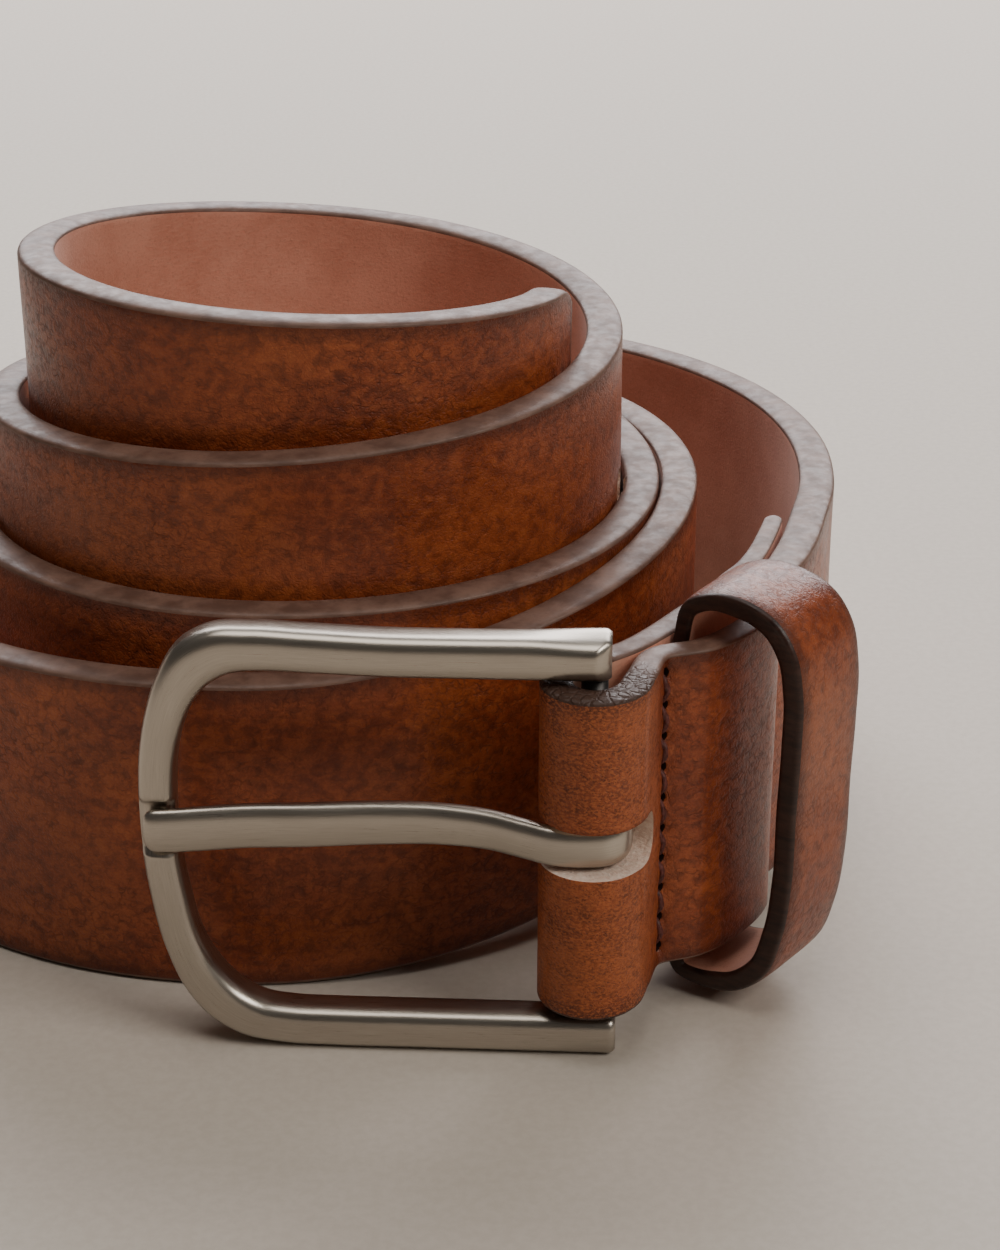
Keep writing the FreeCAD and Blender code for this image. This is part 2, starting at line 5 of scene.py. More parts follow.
import bpy
import numpy as np
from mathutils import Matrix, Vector


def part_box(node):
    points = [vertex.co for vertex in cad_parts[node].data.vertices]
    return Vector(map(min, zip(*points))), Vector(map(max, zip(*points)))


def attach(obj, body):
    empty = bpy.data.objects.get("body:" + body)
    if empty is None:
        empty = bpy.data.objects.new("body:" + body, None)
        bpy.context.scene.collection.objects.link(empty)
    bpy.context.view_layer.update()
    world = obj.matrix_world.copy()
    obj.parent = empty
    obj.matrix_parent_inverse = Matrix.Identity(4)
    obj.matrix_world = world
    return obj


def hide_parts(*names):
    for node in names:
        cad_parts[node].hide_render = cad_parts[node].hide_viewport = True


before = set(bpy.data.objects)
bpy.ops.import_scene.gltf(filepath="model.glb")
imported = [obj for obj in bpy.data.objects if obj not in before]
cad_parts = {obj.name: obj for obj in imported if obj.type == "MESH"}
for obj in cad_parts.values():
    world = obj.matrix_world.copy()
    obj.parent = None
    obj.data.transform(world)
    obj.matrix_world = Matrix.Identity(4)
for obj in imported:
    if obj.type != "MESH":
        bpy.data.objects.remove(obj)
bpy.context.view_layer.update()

MM = 0.001

# ---------------------------------------------------------------------------------------------
# Places
# ---------------------------------------------------------------------------------------------

BAR_LOW, BAR_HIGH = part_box("heel_bar")
HEEL = ((BAR_LOW + BAR_HIGH) / 2 / MM)[:2]
STRAP_HEADING = math.radians(56.0)
FRAME_HEADING = math.radians(177.0)
STRAP_WIDTH = 35.0
END_LIFT = 5.75
COIL_CENTRE = (HEEL[0] - 29.0, HEEL[1] + 53.0)


def along_strap(along, outward):
    """Plan point of the buckle end: along the strap from the heel bar, outward to the grain side."""
    x = HEEL[0] + along * math.cos(STRAP_HEADING) + outward * math.sin(STRAP_HEADING)
    y = HEEL[1] + along * math.sin(STRAP_HEADING) - outward * math.cos(STRAP_HEADING)
    return x, y


# ---------------------------------------------------------------------------------------------
# Curve and mesh helpers
# ---------------------------------------------------------------------------------------------


def catmull_rom(points, places, closed=False):
    """Cubic through points, read at places measured along the chord."""
    points = np.asarray(points, float)
    if closed:
        points = np.vstack([points[-2:], points, points[:3]])
    chord = np.linalg.norm(np.diff(points[:, :2], axis=0), axis=1)
    knots = np.concatenate([[0.0], np.cumsum(np.maximum(chord, 1e-6))])
    if closed:
        knots -= knots[2]
    slopes = np.empty_like(points)
    before = (points[1:-1] - points[:-2]) / np.diff(knots)[:-1, None]
    after = (points[2:] - points[1:-1]) / np.diff(knots)[1:, None]
    left, right = np.diff(knots)[:-1, None], np.diff(knots)[1:, None]
    slopes[1:-1] = (before * right + after * left) / (left + right)
    slopes[0] = (points[1] - points[0]) / (knots[1] - knots[0])
    slopes[-1] = (points[-1] - points[-2]) / (knots[-1] - knots[-2])
    cell = np.clip(np.searchsorted(knots, places, side="right") - 1, 0, len(points) - 2)
    step = (knots[cell + 1] - knots[cell])[:, None]
    part = ((places - knots[cell]) / step[:, 0])[:, None]
    return (
        (2 * part**3 - 3 * part**2 + 1) * points[cell]
        + (part**3 - 2 * part**2 + part) * step * slopes[cell]
        + (3 * part**2 - 2 * part**3) * points[cell + 1]
        + (part**3 - part**2) * step * slopes[cell + 1]
    )


def chord_length(points, closed=False):
    points = np.asarray(points, float)
    if closed:
        points = np.vstack([points, points[:1]])
    return float(np.linalg.norm(np.diff(points[:, :2], axis=0), axis=1).sum())


def unit(vectors):
    return vectors / np.maximum(np.linalg.norm(vectors, axis=-1, keepdims=True), 1e-12)


def smoothstep(value):
    value = np.clip(value, 0.0, 1.0)
    return value * value * (3 - 2 * value)


def superellipse(count, power, across=1.0, up=1.0):
    """Points round a closed rounded box, half sizes across and up."""
    angle = 2 * math.pi * (np.arange(count) + 0.5) / count
    cos, sin = np.cos(angle), np.sin(angle)
    x = across * np.sign(cos) * np.abs(cos) ** (2 / power)
    y = up * np.sign(sin) * np.abs(sin) ** (2 / power)
    return x, y


def signed_volume(mesh):
    """Positive when the closed mesh's faces look outward."""
    mesh.calc_loop_triangles()
    corners = np.zeros(len(mesh.vertices) * 3)
    mesh.vertices.foreach_get("co", corners)
    triangles = np.zeros(len(mesh.loop_triangles) * 3, np.int32)
    mesh.loop_triangles.foreach_get("vertices", triangles)
    a, b, c = corners.reshape(-1, 3)[triangles.reshape(-1, 3)].transpose(1, 0, 2)
    return float(np.einsum("ij,ij->i", a, np.cross(b, c)).sum() / 6)


def grid_mesh(name, grid, body, materials, kinds=None, maps=(), closed=False, caps=None):
    """A tube from a grid of points (station, ring, xyz) in millimetres, riding on body. kinds gives
    each quad its material and caps gives the two ends theirs; maps are UV layers (name, grid of two
    numbers in metres)."""
    stations, ring = grid.shape[:2]
    rows = stations if closed else stations - 1
    here = np.arange(rows)[:, None]
    side = np.arange(ring)[None, :]
    there = (here + 1) % stations
    next_side = (side + 1) % ring
    quads = np.stack(
        [
            here * ring + side,
            there * ring + side,
            there * ring + next_side,
            here * ring + next_side,
        ],
        axis=-1,
    ).reshape(-1, 4)
    faces = quads.tolist()
    if not closed:
        faces.append(list(range(ring)))
        faces.append([(stations - 1) * ring + i for i in range(ring)][::-1])
    mesh = bpy.data.meshes.new(name)
    mesh.from_pydata((grid.reshape(-1, 3) * MM).tolist(), [], faces)
    for material in materials:
        mesh.materials.append(material)
    if kinds is not None:
        indices = np.zeros(len(faces), np.int32)
        indices[: len(quads)] = np.asarray(kinds).reshape(-1)
        if not closed and caps is not None:
            indices[len(quads) :] = caps
        mesh.polygons.foreach_set("material_index", indices)
    smooth = np.arange(len(faces)) < len(quads)
    mesh.polygons.foreach_set("use_smooth", smooth)
    loops = np.zeros(len(mesh.loops), np.int32)
    mesh.loops.foreach_get("vertex_index", loops)
    for label, values in maps:
        layer = mesh.uv_layers.new(name=label)
        wrapped = values.reshape(-1, 2)[loops]
        layer.data.foreach_set("uv", wrapped.astype(np.float32).reshape(-1))
    mesh.update()
    mesh.validate()
    if signed_volume(mesh) < 0:
        mesh.flip_normals()
    thing = bpy.data.objects.new(name, mesh)
    bpy.context.scene.collection.objects.link(thing)
    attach(thing, body)
    return thing


def tube(path, ups, radii):
    """Ring points round a path; ups is the direction that ring angle 0 faces."""
    path = np.asarray(path, float)
    ways = unit(np.gradient(path, axis=0))
    ups = unit(ups - ways * (ups * ways).sum(axis=1, keepdims=True))
    sides = np.cross(ways, ups)
    angle = 2 * math.pi * np.arange(radii.shape[1]) / radii.shape[1]
    return (
        path[:, None, :]
        + ups[:, None, :] * (np.cos(angle) * radii)[:, :, None]
        + sides[:, None, :] * (np.sin(angle) * radii)[:, :, None]
    )


# ---------------------------------------------------------------------------------------------
# Materials
# ---------------------------------------------------------------------------------------------


class Paint:
    """Short names for building one procedural material."""

    def __init__(self, name):
        self.material = bpy.data.materials.new(name)
        self.material.use_nodes = True
        self.tree = self.material.node_tree
        self.shader = self.tree.nodes["Principled BSDF"]

    def node(self, kind, inputs=None, **settings):
        node = self.tree.nodes.new(kind)
        for key, value in settings.items():
            setattr(node, key, value)
        for key, value in (inputs or {}).items():
            self.feed(node.inputs[key], value)
        return node

    def feed(self, socket, value):
        if isinstance(value, bpy.types.NodeSocket):
            self.tree.links.new(value, socket)
        else:
            socket.default_value = value

    def place(self, layer=None):
        if layer is None:
            return self.node("ShaderNodeTexCoord").outputs["Object"]
        return self.node("ShaderNodeUVMap", uv_map=layer).outputs["UV"]

    def stretched(self, place, scale):
        return self.node("ShaderNodeMapping", {"Vector": place, "Scale": scale}).outputs[0]

    def noise(self, place, scale, detail=4.0, rough=0.55, bend=0.0):
        node = self.node(
            "ShaderNodeTexNoise",
            {"Vector": place, "Scale": scale, "Detail": detail, "Roughness": rough, "Distortion": bend},
        )
        return node.outputs["Fac"]

    def cells(self, place, scale, feature="DISTANCE_TO_EDGE"):
        node = self.node("ShaderNodeTexVoronoi", feature=feature)
        self.feed(node.inputs["Vector"], place)
        self.feed(node.inputs["Scale"], scale)
        return node.outputs["Distance"]

    def bent(self, place, scale, amount):
        """place pushed about by noise."""
        colour = self.node(
            "ShaderNodeTexNoise", {"Vector": place, "Scale": scale, "Detail": 2.0}
        ).outputs["Color"]
        centred = self.node(
            "ShaderNodeVectorMath", {0: colour, 1: (0.5, 0.5, 0.5)}, operation="SUBTRACT"
        ).outputs[0]
        pushed = self.node("ShaderNodeVectorMath", operation="SCALE")
        self.feed(pushed.inputs[0], centred)
        self.feed(pushed.inputs["Scale"], amount)
        return self.node(
            "ShaderNodeVectorMath", {0: place, 1: pushed.outputs[0]}, operation="ADD"
        ).outputs[0]

    def ramp(self, value, low, high, to_low=0.0, to_high=1.0):
        node = self.node(
            "ShaderNodeMapRange",
            {"Value": value, "From Min": low, "From Max": high, "To Min": to_low, "To Max": to_high},
            interpolation_type="SMOOTHSTEP",
        )
        return node.outputs["Result"]

    def maths(self, operation, first, second=0.0):
        return self.node("ShaderNodeMath", {0: first, 1: second}, operation=operation).outputs[0]

    def mix(self, amount, first, second, blend="MIX"):
        node = self.node("ShaderNodeMix", data_type="RGBA", blend_type=blend)
        self.feed(node.inputs["Factor"], amount)
        self.feed(node.inputs["A"], first if not isinstance(first, tuple) else (*first, 1.0))
        self.feed(node.inputs["B"], second if not isinstance(second, tuple) else (*second, 1.0))
        return node.outputs["Result"]

    def bump(self, height, distance, strength=1.0):
        inputs = {"Height": height, "Distance": distance, "Strength": strength}
        return self.node("ShaderNodeBump", inputs).outputs["Normal"]

    def finish(self, **inputs):
        for key, value in inputs.items():
            self.feed(self.shader.inputs[key.replace("_", " ")], value)
        return self.material


DEEP_BROWN = (0.050, 0.0080, 0.0024)
RED_BROWN = (0.225, 0.042, 0.0115)
COGNAC = (0.345, 0.074, 0.020)
AMBER = (0.48, 0.130, 0.036)


def grain_leather(name, layer, pebbles=1.0, painted_shade_tone=1.0):
    """Waxed, mottled cognac grain: clouded colour, a net of fine creases and pores."""
    p = Paint(name)
    place = p.place(layer)
    clouds = p.noise(p.bent(place, 60.0, 0.004), 95.0, 5.0, 0.6)
    blotch = p.noise(place, 34.0, 3.0, 0.5, 0.4)
    fibres = p.noise(p.stretched(place, (420.0, 1500.0, 900.0)), 1.0, 3.0, 0.6)
    bent = p.bent(p.bent(place, 420.0, 0.0016), 2100.0, 0.0005)
    net = p.cells(bent, 1150.0)
    fine_net = p.cells(p.bent(place, 1900.0, 0.0006), 2300.0)
    pores = p.cells(place, 3400.0, "F1")
    where = p.ramp(p.noise(place, 52.0, 4.0, 0.6), 0.34, 0.62, 0.30, 0.95)
    broken = p.ramp(p.noise(place, 900.0, 2.0, 0.5), 0.36, 0.62)
    crease = p.ramp(net, 0.0, 0.22, 1.0, 0.0)
    crease = p.maths("MULTIPLY", p.maths("MULTIPLY", crease, where), broken)
    fine_crease = p.ramp(fine_net, 0.0, 0.24, 1.0, 0.0)
    pore = p.ramp(pores, 0.05, 0.34, 1.0, 0.0)
    colour = p.mix(p.ramp(clouds, 0.32, 0.68), RED_BROWN, COGNAC)
    colour = p.mix(p.maths("MULTIPLY", p.ramp(blotch, 0.48, 0.72), 0.55), colour, AMBER)
    colour = p.mix(p.maths("MULTIPLY", p.ramp(fibres, 0.45, 0.75), 0.22), colour, AMBER)
    mottle = p.noise(bent, 760.0, 4.0, 0.62, 0.3)
    colour = p.mix(p.ramp(mottle, 0.34, 0.56, 0.41, 0.0), colour, DEEP_BROWN)
    colour = p.mix(p.ramp(mottle, 0.50, 0.72, 0.0, 0.34), colour, AMBER)
    colour = p.mix(p.maths("MULTIPLY", crease, 0.46 * pebbles), colour, DEEP_BROWN)
    colour = p.mix(p.maths("MULTIPLY", fine_crease, 0.13 * pebbles), colour, DEEP_BROWN)
    colour = p.mix(p.maths("MULTIPLY", pore, 0.14), colour, DEEP_BROWN)
    wear = p.node("ShaderNodeSeparateXYZ", {0: p.place("wear")})
    # Grain darkened within about 2 mm of each edge: partly edge burnish, partly painted shade along the
    # edges.
    rim = p.ramp(wear.outputs["X"], 0.0, 0.0022, 0.62, 0.0)
    colour = p.mix(rim, colour, DEEP_BROWN)
    stretch = wear.outputs["Y"]
    open_pores = p.cells(p.bent(place, 2400.0, 0.0003), 4600.0, "F1")
    open_pores = p.maths("MULTIPLY", p.ramp(open_pores, 0.10, 0.44, 1.0, 0.0), stretch)
    golden = p.ramp(p.noise(place, 3600.0, 2.0, 0.5), 0.44, 0.60)
    colour = p.mix(p.maths("MULTIPLY", p.maths("MULTIPLY", stretch, golden), 0.62), colour, AMBER)
    colour = p.mix(p.maths("MULTIPLY", open_pores, 0.50), colour, DEEP_BROWN)
    # Painted shade: the whole colour is multiplied down by this tone.
    colour = p.mix(1.0, colour, (painted_shade_tone, painted_shade_tone, painted_shade_tone), "MULTIPLY")
    height = p.maths("MULTIPLY", crease, -0.55)
    height = p.maths("ADD", height, p.maths("MULTIPLY", fine_crease, -0.28))
    height = p.maths("ADD", height, p.maths("MULTIPLY", pore, -0.22))
    height = p.maths("ADD", height, p.maths("MULTIPLY", open_pores, -0.6))
    height = p.maths("ADD", height, p.maths("MULTIPLY", mottle, 0.8))
    rough = p.ramp(clouds, 0.3, 0.75, 0.32, 0.46)
    rough = p.maths("ADD", rough, p.maths("MULTIPLY", crease, 0.18))
    rough = p.maths("ADD", rough, p.maths("MULTIPLY", stretch, 0.10))
    return p.finish(
        Base_Color=colour,
        Roughness=rough,
        Normal=p.bump(height, 0.00011 * pebbles, 0.7),
        Specular_IOR_Level=0.36,
        Coat_Weight=0.14,
        Coat_Roughness=0.20,
    )


def painted_edge(name, light, dark, rough):
    """Layered edge paint: domed, a little lumpy and streaked."""
    p = Paint(name)
    solid = p.place()
    lumps = p.noise(solid, 700.0, 3.0, 0.6)
    streak = p.noise(p.stretched(solid, (300.0, 300.0, 1400.0)), 1.0, 4.0, 0.6)
    specks = p.noise(solid, 2600.0, 2.0, 0.5)
    wear = p.node("ShaderNodeSeparateXYZ", {0: p.place("wear")})
    colour = p.mix(p.ramp(streak, 0.30, 0.70), dark, light)
    colour = p.mix(p.maths("MULTIPLY", p.ramp(specks, 0.55, 0.75), 0.35), colour, dark)
    # Edge paint darkened at the fold: partly crinkled, pressed paint, partly painted shade.
    pressed_and_shaded = tuple(0.5 * channel for channel in dark)
    colour = p.mix(p.maths("MULTIPLY", wear.outputs["Y"], 0.85), colour, pressed_and_shaded)
    crumple = p.cells(p.bent(solid, 500.0, 0.0012), 1100.0)
    crumple = p.maths("MULTIPLY", p.ramp(crumple, 0.0, 0.25), wear.outputs["Y"])
    height = p.maths("ADD", p.maths("MULTIPLY", lumps, 0.6), p.maths("MULTIPLY", streak, 0.5))
    height = p.maths("ADD", height, p.maths("MULTIPLY", crumple, 2.2))
    return p.finish(
        Base_Color=colour,
        Roughness=p.ramp(lumps, 0.3, 0.7, rough, rough + 0.16),
        Normal=p.bump(height, 0.00014, 0.5),
        Specular_IOR_Level=0.34,
    )


def flesh_leather(name, layer):
    """The smooth flesh side: even tan with soft clouds and short fibres."""
    p = Paint(name)
    place = p.place(layer)
    clouds = p.noise(place, 70.0, 4.0, 0.6)
    fibres = p.noise(p.stretched(place, (900.0, 2600.0, 900.0)), 1.0, 4.0, 0.7)
    nap = p.noise(p.place(), 3200.0, 2.0, 0.6)
    colour = p.mix(p.ramp(clouds, 0.3, 0.7), (0.50, 0.205, 0.130), (0.64, 0.305, 0.21))
    colour = p.mix(p.maths("MULTIPLY", p.ramp(fibres, 0.4, 0.7), 0.30), colour, (0.66, 0.36, 0.25))
    colour = p.mix(p.maths("MULTIPLY", p.ramp(nap, 0.5, 0.75), 0.25), colour, (0.24, 0.085, 0.045))
    wear = p.node("ShaderNodeSeparateXYZ", {0: p.place("wear")})
    colour = p.mix(p.maths("MULTIPLY", wear.outputs["Y"], 0.7), colour, (0.66, 0.43, 0.30))
    height = p.maths("ADD", p.maths("MULTIPLY", fibres, 0.6), p.maths("MULTIPLY", nap, 0.5))
    return p.finish(
        Base_Color=colour,
        Roughness=p.ramp(fibres, 0.3, 0.7, 0.52, 0.68),
        Normal=p.bump(height, 0.00012, 0.6),
        Sheen_Weight=0.15,
        Sheen_Roughness=0.5,
    )


def raw_leather(name):
    """Freshly cut, undyed fibre in the slot and the punched holes."""
    p = Paint(name)
    place = p.place()
    fibres = p.noise(p.stretched(place, (1800.0, 1800.0, 3200.0)), 1.0, 5.0, 0.7)
    clots = p.cells(p.bent(place, 900.0, 0.0008), 1600.0, "F1")
    colour = p.mix(p.ramp(fibres, 0.30, 0.70), (0.78, 0.53, 0.41), (0.95, 0.79, 0.67))
    colour = p.mix(p.maths("MULTIPLY", p.ramp(clots, 0.3, 0.6), 0.35), colour, (0.80, 0.58, 0.45))
    height = p.maths("ADD", fibres, p.maths("MULTIPLY", clots, 0.6))
    return p.finish(
        Base_Color=colour,
        Roughness=p.ramp(fibres, 0.3, 0.7, 0.78, 0.92),
        Normal=p.bump(height, 0.00022, 0.9),
        Sheen_Weight=0.2,
    )


def waxed_thread(name):
    """Two-ply waxed thread; the plies are in the mesh, the filaments are here."""
    p = Paint(name)
    filaments = p.noise(p.stretched(p.place(), (5200.0, 5200.0, 1700.0)), 1.0, 4.0, 0.6)
    colour = p.mix(p.ramp(filaments, 0.3, 0.7), (0.050, 0.013, 0.010), (0.150, 0.042, 0.034))
    return p.finish(
        Base_Color=colour,
        Roughness=p.ramp(filaments, 0.3, 0.7, 0.42, 0.62),
        Normal=p.bump(filaments, 0.00008, 0.7),
        Specular_IOR_Level=0.35,
    )


def satin_metal(name, layer, dark, light, rough):
    """Satin brushing along the piece, with faint clouding and hairline marks."""
    p = Paint(name)
    place = p.place(layer)
    solid = p.place()
    brush = p.noise(p.stretched(place, (260.0, 19000.0, 19000.0)), 1.0, 4.0, 0.65)
    hair = p.noise(p.stretched(place, (420.0, 30000.0, 30000.0)), 1.0, 2.0, 0.5)
    cloud = p.noise(solid, 160.0, 3.0, 0.55)
    pit = p.noise(solid, 5200.0, 2.0, 0.5)
    colour = p.mix(p.ramp(brush, 0.30, 0.72), dark, light)
    colour = p.mix(p.maths("MULTIPLY", p.ramp(cloud, 0.45, 0.75), 0.18), colour, dark)
    height = p.maths("ADD", p.maths("MULTIPLY", brush, 0.5), p.maths("MULTIPLY", hair, 0.5))
    height = p.maths("ADD", height, p.maths("MULTIPLY", pit, 0.35))
    roughness = p.ramp(brush, 0.3, 0.7, rough, rough + 0.07)
    roughness = p.maths("ADD", roughness, p.maths("MULTIPLY", cloud, 0.06))
    return p.finish(
        Base_Color=colour,
        Metallic=1.0,
        Roughness=roughness,
        Normal=p.bump(height, 0.000012, 0.35),
    )


GRAIN = grain_leather("strap_grain", "place")
FLESH = flesh_leather("strap_flesh", "place")
EDGE = painted_edge("strap_edge_paint", (0.195, 0.110, 0.080), (0.105, 0.054, 0.038), 0.40)
RAW = raw_leather("cut_leather")
# The keeper is the strap's grain with finer pebbles, darkened to 0.86: the darkening is painted shade on the
# keeper.
KEEPER_GRAIN = grain_leather("keeper_grain", "place", 0.65, 0.86)
KEEPER_EDGE = painted_edge("keeper_edge_paint", (0.050, 0.021, 0.014), (0.020, 0.009, 0.007), 0.30)
# Near-black stitch hole walls: painted shade inside the stitch holes.
HOLE = painted_edge("stitch_hole_wall", (0.030, 0.011, 0.008), (0.014, 0.005, 0.004), 0.60)
THREAD = waxed_thread("waxed_thread")
NICKEL = satin_metal("satin_nickel", "place", (0.43, 0.385, 0.33), (0.51, 0.465, 0.405), 0.24)
STEEL = satin_metal("drawn_steel", None, (0.40, 0.38, 0.35), (0.62, 0.60, 0.57), 0.30)
BLUED_STEEL = satin_metal("blued_steel", None, (0.045, 0.042, 0.040), (0.085, 0.080, 0.076), 0.38)

# ---------------------------------------------------------------------------------------------
# Strap
# ---------------------------------------------------------------------------------------------

FIRST_STATION = -1.00
STATION_STEP = 0.25
TAIL_TURN = 3.235
BUCKLE_END_TURN = -0.75
COIL_LEATHER = 4.0
# Outer radius and height of the lower edge at each quarter turn, from the buckle's end inward.
COIL_STATIONS = [
    (47.6, 5.4),
    (57.9, 5.5),
    (73.0, 2.5),
    (57.0, 0.0),
    (42.0, 0.0),
    (42.3, 6.6),
    (45.0, 6.3),
    (41.9, 5.3),
    (36.5, 5.2),
    (38.0, 6.6),
    (40.2, 11.0),
    (37.5, 17.1),
    (32.1, 20.1),
    (33.6, 23.8),
    (35.8, 28.2),
    (32.6, 33.3),
    (26.4, 32.5),
    (28.5, 29.4),
    (31.5, 24.5),
]
# Along the strap from the heel bar, outward to the grain side, leather thickness.
OUTER_LAYER = [
    (50.0, -3.6, 4.0),
    (43.0, -1.0, 4.0),
    (37.0, 0.7, 3.9),
    (33.0, 1.4, 3.5),
    (29.5, 1.7, 3.2),
    (24.5, 5.0, 2.9),
    (18.5, 5.5, 2.9),
    (13.0, 4.4, 2.9),
    (8.6, 1.7, 2.8),
    (4.0, 2.8, 3.0),
]
FLAP_LAYER = [
    (4.0, -2.8, 3.0),
    (8.6, -1.4, 2.7),
    (13.0, -1.0, 2.7),
    (18.5, -1.0, 2.7),
    (24.5, -1.1, 2.6),
    (29.5, -1.6, 2.6),
    (33.0, -1.9, 2.4),
    (37.0, -2.8, 2.2),
    (42.0, -4.4, 2.1),
    (46.5, -6.0, 2.0),
]
FOLD_LEATHER = 3.2
FOLD_RADIUS = 3.7
# The last length of the strap, which holds the fold and both stitch rows.
BUCKLE_END_LENGTH = 125.0
STATIONS_PER_TURN = 20
# Stitch rows, along the strap from the heel bar.
FRONT_ROW = 8.6
REAR_ROW = 29.5
STITCH_PITCH = 3.4
STITCHES = 10
STITCH_HOLE_RADIUS = 0.56
STITCH_HOLE_STRETCH = 1.15
STITCH_HOLE_MIDDLE = 0.2
TROUGH_DEPTH = 0.24
TROUGH_WIDTH = 0.75
HOLE_DENT_DEPTH = 0.50
HOLE_DENT_RADIUS = 0.70
THREAD_RADIUS = 0.36
THREAD_DIP = 1.45
THREAD_RISE = 1.25
PLY_TWIST = 2.1
# Adjustment holes, measured from the tail's tip.
FIRST_HOLE = 85.0
HOLE_SPACING = 25.0
HOLES = 5
HOLE_RADIUS = 2.0
# Prong slot, half its height and how far it reaches past the heel bar.
SLOT_RADIUS = 2.5
SLOT_REACH = 4.3
SLOT_ROUNDNESS = 3.0
SLOT_LEVEL = 24.1
SLOT_CUTTER_REACH = 9.0
TAIL_CORNER = 4.0
# Lengths over which the strap's two ends round off, how squarely they do, and the tip's painted rim.
TIP_ROUNDING = 1.2
FLAP_ROUNDING = 0.9
END_SQUARENESS = 2.4
TIP_RIM = 1.1
EDGE_DOME = 0.62
DOME_SQUARENESS = 0.8
# How far from the heel bar the fold's stretched grain reaches, and the length it fades over.
STRETCH_END = 6.5
STRETCH_FADE = 4.0


def coil_point(turn):
    """Centre line of the coil: x, y, lower edge, thickness."""
    place = (turn - FIRST_STATION) / STATION_STEP
    index = int(math.floor(place + 1e-6))
    near = np.array(COIL_STATIONS[index - 1 : index + 3])
    part = place - index
    before, start, end, after = near
    radius, base = 0.5 * (
        2 * start
        + (end - before) * part
        + (2 * before - 5 * start + 4 * end - after) * part**2
        + (3 * start - before - 3 * end + after) * part**3
    )
    radius -= COIL_LEATHER / 2
    angle = math.radians(360.0 * turn - 90.0)
    x = COIL_CENTRE[0] + radius * math.cos(angle)
    y = COIL_CENTRE[1] + radius * math.sin(angle)
    return x, y, max(base, 0.0), COIL_LEATHER


def strap_stations():
    """Stations from the tail's tip to the flap's end, and the length at the front of the fold."""
    count = round((TAIL_TURN - BUCKLE_END_TURN) * STATIONS_PER_TURN)
    turns = [TAIL_TURN + (BUCKLE_END_TURN - TAIL_TURN) * i / count for i in range(count + 1)]
    coarse = [coil_point(turn) for turn in turns]
    coarse += [(*along_strap(s, n), END_LIFT, t) for s, n, t in OUTER_LAYER]
    for degrees in range(90, 271, 30):
        angle = math.radians(degrees)
        point = along_strap(FOLD_RADIUS * math.cos(angle), FOLD_RADIUS * math.sin(angle))
        coarse.append((*point, END_LIFT, FOLD_LEATHER))
    coarse += [(*along_strap(s, n), END_LIFT, t) for s, n, t in FLAP_LAYER]
    total = chord_length(coarse)
    end_start = chord_length(coarse[: count + 2])
    tip = np.concatenate([np.array([0.0, 0.05, 0.15, 0.3, 0.5, 0.75]), np.arange(1.0, 12.0, 0.5)])
    coil = np.arange(12.0, end_start, 1.0)
    fold = np.arange(end_start, total - 1.0, 0.4)
    last = total - np.array([0.9, 0.6, 0.35, 0.15, 0.05, 0.0])
    places = np.concatenate([tip, coil, fold, last])
    return catmull_rom(coarse, places), places, total


def half_round(rows, side, height, kind):
    """The strap's domed edge, from one face to the other."""
    points = []
    for i in range(rows):
        angle = math.pi * i / rows
        across = math.copysign(abs(math.cos(angle)) ** DOME_SQUARENESS, math.cos(angle))
        points.append((side * across, height, side * abs(math.sin(angle)) ** DOME_SQUARENESS, kind))
    return points


def strap_ring(grain_rows, flesh_rows, dome_rows):
    """Ring of the strap's section: across (1 grain, -1 flesh), height part, dome part, kind."""
    ring = [(1.0, i / grain_rows, 0.0, 0) for i in range(grain_rows)]
    ring += half_round(dome_rows, 1, 1.0, 1)
    ring += [(-1.0, 1.0 - i / flesh_rows, 0.0, 2) for i in range(flesh_rows)]
    ring += half_round(dome_rows, -1, 0.0, 3)
    across, height, dome, kind = np.array(ring).T
    return across, height, dome, kind.astype(int)


def stitch_heights():
    """Heights of the holes in a stitch row, centred on the strap."""
    first = END_LIFT + STRAP_WIDTH / 2 - STITCH_PITCH * (STITCHES - 1) / 2
    return [first + STITCH_PITCH * index for index in range(STITCHES)]


def stitch_dents(x, y, z, outward_side):
    """Depth that the thread has pulled the leather in round both stitch rows."""
    cos, sin = math.cos(STRAP_HEADING), math.sin(STRAP_HEADING)
    along = (x - HEEL[0]) * cos + (y - HEEL[1]) * sin
    outward = (x - HEEL[0]) * sin - (y - HEEL[1]) * cos
    dent = np.zeros_like(along)
    near = (np.abs(outward) < 9.0) & outward_side
    heights = stitch_heights()
    for row in (FRONT_ROW, REAR_ROW):
        inside = smoothstep((z - heights[0] + 1.6) / 1.0) * smoothstep((heights[-1] + 1.6 - z) / 1.0)
        trough = TROUGH_DEPTH * np.exp(-(((along - row) / TROUGH_WIDTH) ** 2)) * inside
        holes = np.zeros_like(along)
        for height in heights:
            apart = np.hypot((along - row) * 1.3, (z - height) * 0.8)
            holes = np.maximum(holes, HOLE_DENT_DEPTH * np.exp(-((apart / HOLE_DENT_RADIUS) ** 2)))
        dent += np.where(near, trough + holes, 0.0)
    return dent


